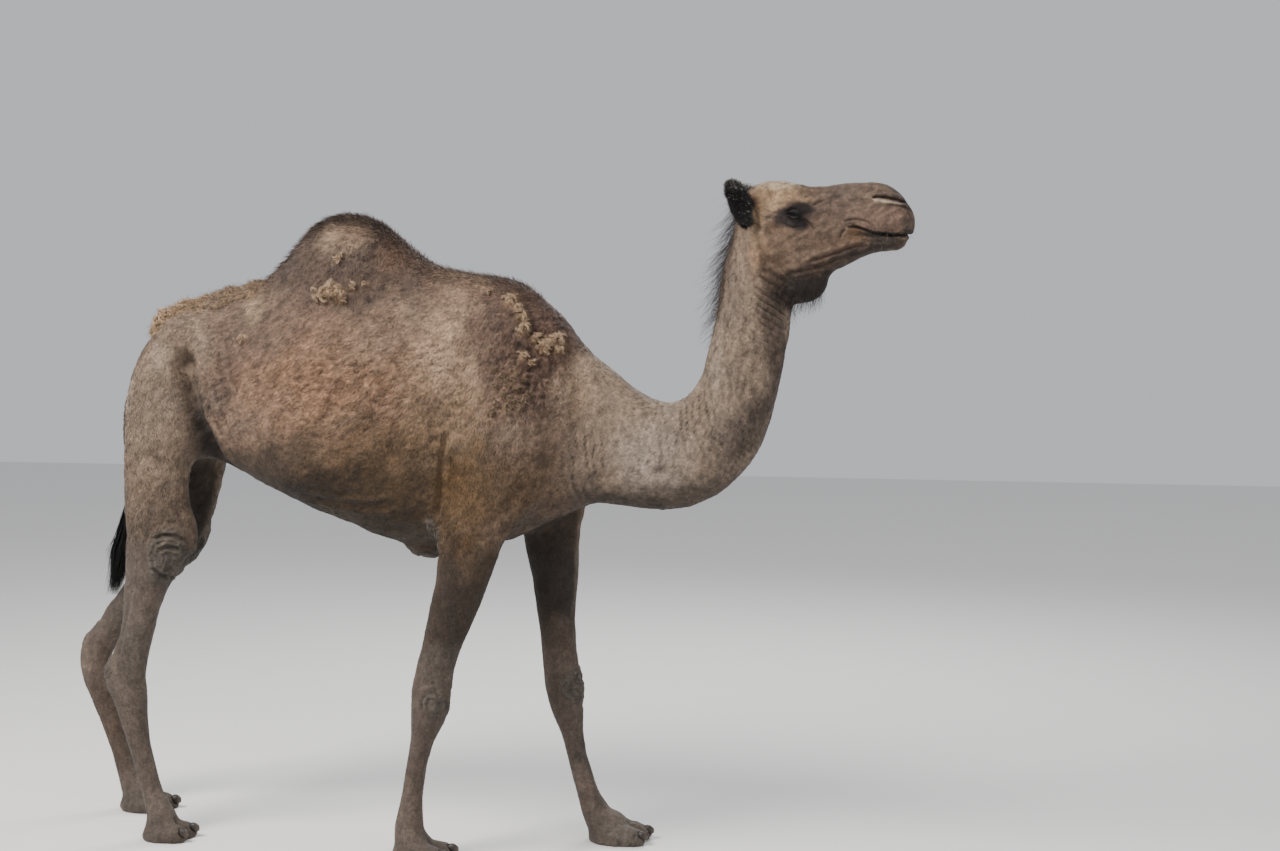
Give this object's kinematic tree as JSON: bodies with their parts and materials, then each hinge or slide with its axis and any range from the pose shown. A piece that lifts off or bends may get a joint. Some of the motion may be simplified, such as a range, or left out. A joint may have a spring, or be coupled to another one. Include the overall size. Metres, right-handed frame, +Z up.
{
  "type": "camel",
  "caption": "Dromedary camel standing in mid-stride with its neck in a low curve and its head held level, as a still life-size model with a short moulting coat.",
  "frame": {"origin": "on the ground, under the middle of the body's bounding box", "axes": "+X to the head, +Y to the camel's left, +Z up"},
  "size_m": [2.9261, 0.6097, 2.1192],
  "materials": {
    "coat": "short dull brown hair, moulting in places",
    "ear": "short dark hair",
    "tail_hair": "long black hair",
    "callus": "bare wrinkled horny skin",
    "eye": "wet dark eye",
    "nail": "dull dark horn"
  },
  "bodies": {
    "root": {"chest_pad": "callus", "ear_left": "ear", "ear_right": "ear", "eye_left": "eye", "eye_right": "eye", "fore_left_foot": "coat", "fore_left_lower": "coat", "fore_left_upper": "coat", "fore_right_foot": "coat", "fore_right_lower": "coat", "fore_right_upper": "coat", "head": "coat", "hind_left_foot": "coat", "hind_left_lower": "coat", "hind_left_upper": "coat", "hind_right_foot": "coat", "hind_right_lower": "coat", "hind_right_upper": "coat", "hump": "coat", "lower_jaw": "coat", "nail_fore_left_a": "nail", "nail_fore_left_b": "nail", "nail_fore_right_a": "nail", "nail_fore_right_b": "nail", "nail_hind_left_a": "nail", "nail_hind_left_b": "nail", "nail_hind_right_a": "nail", "nail_hind_right_b": "nail", "neck_lower": "coat", "neck_upper": "coat", "tail": "coat", "tail_tuft": "tail_hair", "trunk": "coat"}
  },
  "joints": []
}
